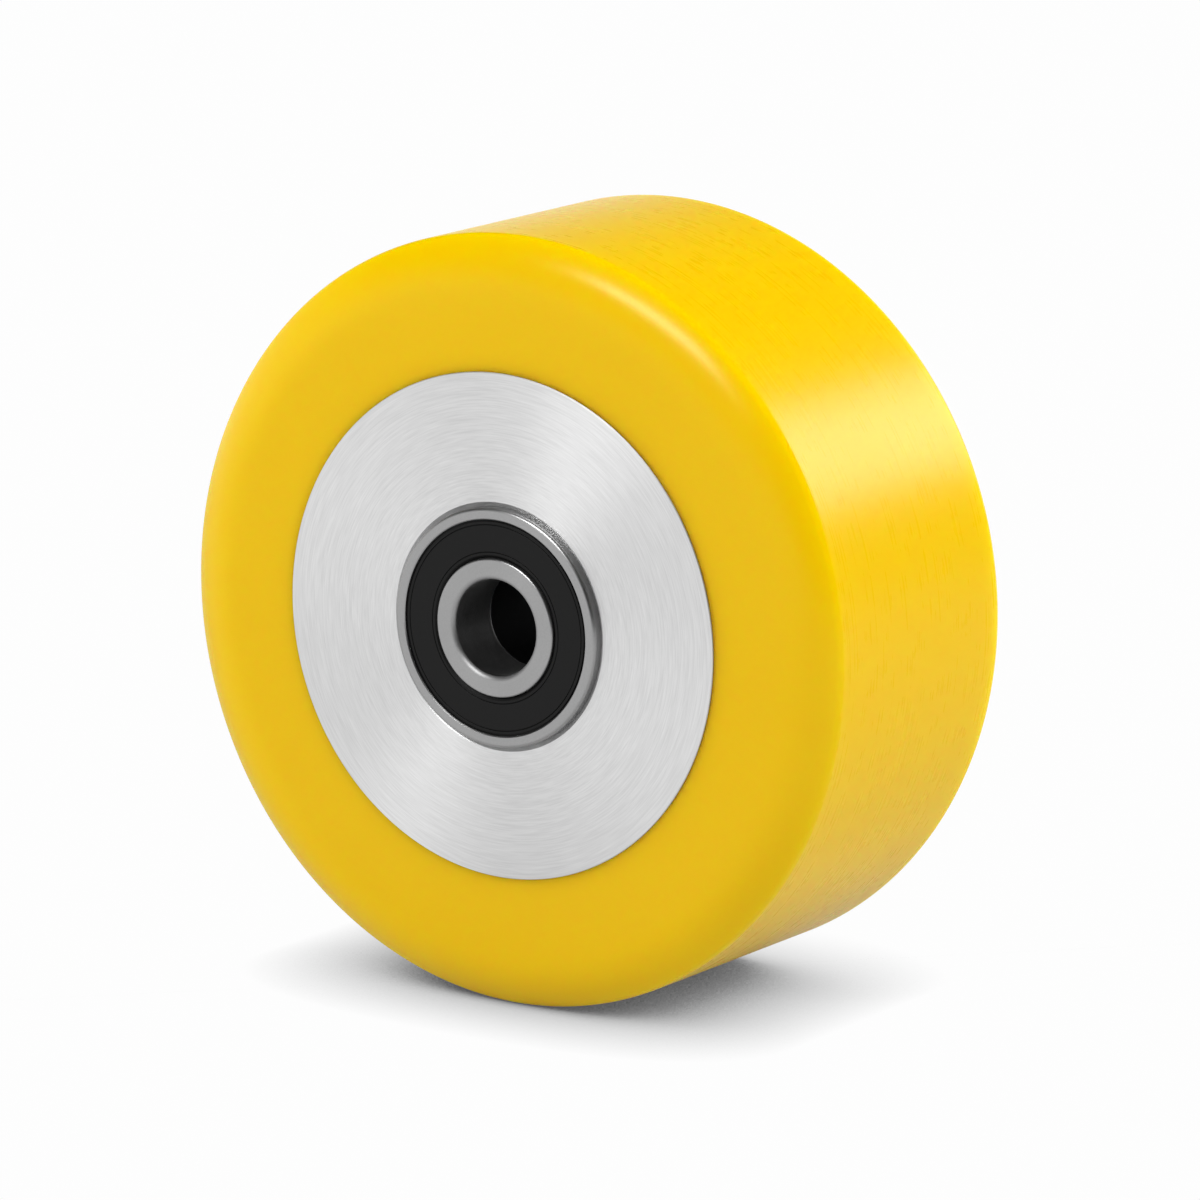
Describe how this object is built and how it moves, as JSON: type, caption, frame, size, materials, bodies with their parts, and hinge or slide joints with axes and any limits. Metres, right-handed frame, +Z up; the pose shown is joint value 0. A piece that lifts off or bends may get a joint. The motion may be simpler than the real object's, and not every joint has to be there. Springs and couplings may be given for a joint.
{
  "type": "polyurethane castor wheel",
  "caption": "Heavy castor wheel: thick cast polyurethane tyre with round shoulders on a turned aluminium hub, running on two sealed ball bearings.",
  "frame": {"origin": "centre of the wheel, on the axle line, halfway between the two outer bearing faces", "axes": "+Y along the axle, towards the rear face; the pictured face looks along -Y; +Z is up, as the wheel stands on its tread"},
  "size_m": [0.2, 0.089, 0.2],
  "materials": {
    "polyurethane": "satin",
    "hub_aluminium": "turned",
    "bearing_steel": "ground",
    "seal_rubber": "moulded",
    "cage_steel": "pressed",
    "spacer_steel": "black oxide"
  },
  "bodies": {
    "axle_side": {"spacer_tube": "spacer_steel", "front_inner_ring": "bearing_steel", "rear_inner_ring": "bearing_steel"},
    "wheel": {"tyre": "polyurethane", "hub": "hub_aluminium", "front_outer_ring": "bearing_steel", "front_outer_seal": "seal_rubber", "front_inner_seal": "seal_rubber", "rear_outer_ring": "bearing_steel", "rear_outer_seal": "seal_rubber", "rear_inner_seal": "seal_rubber"},
    "front_cage": {"front_cage_outer_half": "cage_steel", "front_cage_inner_half": "cage_steel", "front_cage_rivets": "cage_steel"},
    "front_ball_1": {"front_ball_1": "bearing_steel"},
    "front_ball_2": {"front_ball_2": "bearing_steel"},
    "front_ball_3": {"front_ball_3": "bearing_steel"},
    "front_ball_4": {"front_ball_4": "bearing_steel"},
    "front_ball_5": {"front_ball_5": "bearing_steel"},
    "front_ball_6": {"front_ball_6": "bearing_steel"},
    "front_ball_7": {"front_ball_7": "bearing_steel"},
    "rear_cage": {"rear_cage_outer_half": "cage_steel", "rear_cage_inner_half": "cage_steel", "rear_cage_rivets": "cage_steel"},
    "rear_ball_1": {"rear_ball_1": "bearing_steel"},
    "rear_ball_2": {"rear_ball_2": "bearing_steel"},
    "rear_ball_3": {"rear_ball_3": "bearing_steel"},
    "rear_ball_4": {"rear_ball_4": "bearing_steel"},
    "rear_ball_5": {"rear_ball_5": "bearing_steel"},
    "rear_ball_6": {"rear_ball_6": "bearing_steel"},
    "rear_ball_7": {"rear_ball_7": "bearing_steel"}
  },
  "joints": [
    {"name": "wheel_spin", "type": "hinge", "parent": "axle_side", "child": "wheel", "pos_m": [0, 0, 0], "axis": [0, 1, 0], "continuous": true},
    {"name": "front_cage_orbit", "type": "hinge", "parent": "axle_side", "child": "front_cage", "pos_m": [0, -0.036, 0], "axis": [0, 1, 0], "continuous": true},
    {"name": "front_ball_1_roll", "type": "hinge", "parent": "front_cage", "child": "front_ball_1", "pos_m": [0, -0.036, 0.02175], "axis": [0, 1, 0], "continuous": true},
    {"name": "front_ball_2_roll", "type": "hinge", "parent": "front_cage", "child": "front_ball_2", "pos_m": [-0.017, -0.036, 0.01356], "axis": [0, 1, 0], "continuous": true},
    {"name": "front_ball_3_roll", "type": "hinge", "parent": "front_cage", "child": "front_ball_3", "pos_m": [-0.0212, -0.036, -0.00484], "axis": [0, 1, 0], "continuous": true},
    {"name": "front_ball_4_roll", "type": "hinge", "parent": "front_cage", "child": "front_ball_4", "pos_m": [-0.00944, -0.036, -0.0196], "axis": [0, 1, 0], "continuous": true},
    {"name": "front_ball_5_roll", "type": "hinge", "parent": "front_cage", "child": "front_ball_5", "pos_m": [0.00944, -0.036, -0.0196], "axis": [0, 1, 0], "continuous": true},
    {"name": "front_ball_6_roll", "type": "hinge", "parent": "front_cage", "child": "front_ball_6", "pos_m": [0.0212, -0.036, -0.00484], "axis": [0, 1, 0], "continuous": true},
    {"name": "front_ball_7_roll", "type": "hinge", "parent": "front_cage", "child": "front_ball_7", "pos_m": [0.017, -0.036, 0.01356], "axis": [0, 1, 0], "continuous": true},
    {"name": "rear_cage_orbit", "type": "hinge", "parent": "axle_side", "child": "rear_cage", "pos_m": [0, 0.036, 0], "axis": [0, 1, 0], "continuous": true},
    {"name": "rear_ball_1_roll", "type": "hinge", "parent": "rear_cage", "child": "rear_ball_1", "pos_m": [0, 0.036, 0.02175], "axis": [0, 1, 0], "continuous": true},
    {"name": "rear_ball_2_roll", "type": "hinge", "parent": "rear_cage", "child": "rear_ball_2", "pos_m": [0.017, 0.036, 0.01356], "axis": [0, 1, 0], "continuous": true},
    {"name": "rear_ball_3_roll", "type": "hinge", "parent": "rear_cage", "child": "rear_ball_3", "pos_m": [0.0212, 0.036, -0.00484], "axis": [0, 1, 0], "continuous": true},
    {"name": "rear_ball_4_roll", "type": "hinge", "parent": "rear_cage", "child": "rear_ball_4", "pos_m": [0.00944, 0.036, -0.0196], "axis": [0, 1, 0], "continuous": true},
    {"name": "rear_ball_5_roll", "type": "hinge", "parent": "rear_cage", "child": "rear_ball_5", "pos_m": [-0.00944, 0.036, -0.0196], "axis": [0, 1, 0], "continuous": true},
    {"name": "rear_ball_6_roll", "type": "hinge", "parent": "rear_cage", "child": "rear_ball_6", "pos_m": [-0.0212, 0.036, -0.00484], "axis": [0, 1, 0], "continuous": true},
    {"name": "rear_ball_7_roll", "type": "hinge", "parent": "rear_cage", "child": "rear_ball_7", "pos_m": [-0.017, 0.036, 0.01356], "axis": [0, 1, 0], "continuous": true}
  ],
  "couplings": [
    {"joint": "front_cage_orbit", "follows": "wheel_spin", "ratio": 0.63218},
    {"joint": "front_ball_1_roll", "follows": "wheel_spin", "ratio": 1.7591},
    {"joint": "front_ball_2_roll", "follows": "wheel_spin", "ratio": 1.7591},
    {"joint": "front_ball_3_roll", "follows": "wheel_spin", "ratio": 1.7591},
    {"joint": "front_ball_4_roll", "follows": "wheel_spin", "ratio": 1.7591},
    {"joint": "front_ball_5_roll", "follows": "wheel_spin", "ratio": 1.7591},
    {"joint": "front_ball_6_roll", "follows": "wheel_spin", "ratio": 1.7591},
    {"joint": "front_ball_7_roll", "follows": "wheel_spin", "ratio": 1.7591},
    {"joint": "rear_cage_orbit", "follows": "wheel_spin", "ratio": 0.63218},
    {"joint": "rear_ball_1_roll", "follows": "wheel_spin", "ratio": 1.7591},
    {"joint": "rear_ball_2_roll", "follows": "wheel_spin", "ratio": 1.7591},
    {"joint": "rear_ball_3_roll", "follows": "wheel_spin", "ratio": 1.7591},
    {"joint": "rear_ball_4_roll", "follows": "wheel_spin", "ratio": 1.7591},
    {"joint": "rear_ball_5_roll", "follows": "wheel_spin", "ratio": 1.7591},
    {"joint": "rear_ball_6_roll", "follows": "wheel_spin", "ratio": 1.7591},
    {"joint": "rear_ball_7_roll", "follows": "wheel_spin", "ratio": 1.7591}
  ]
}
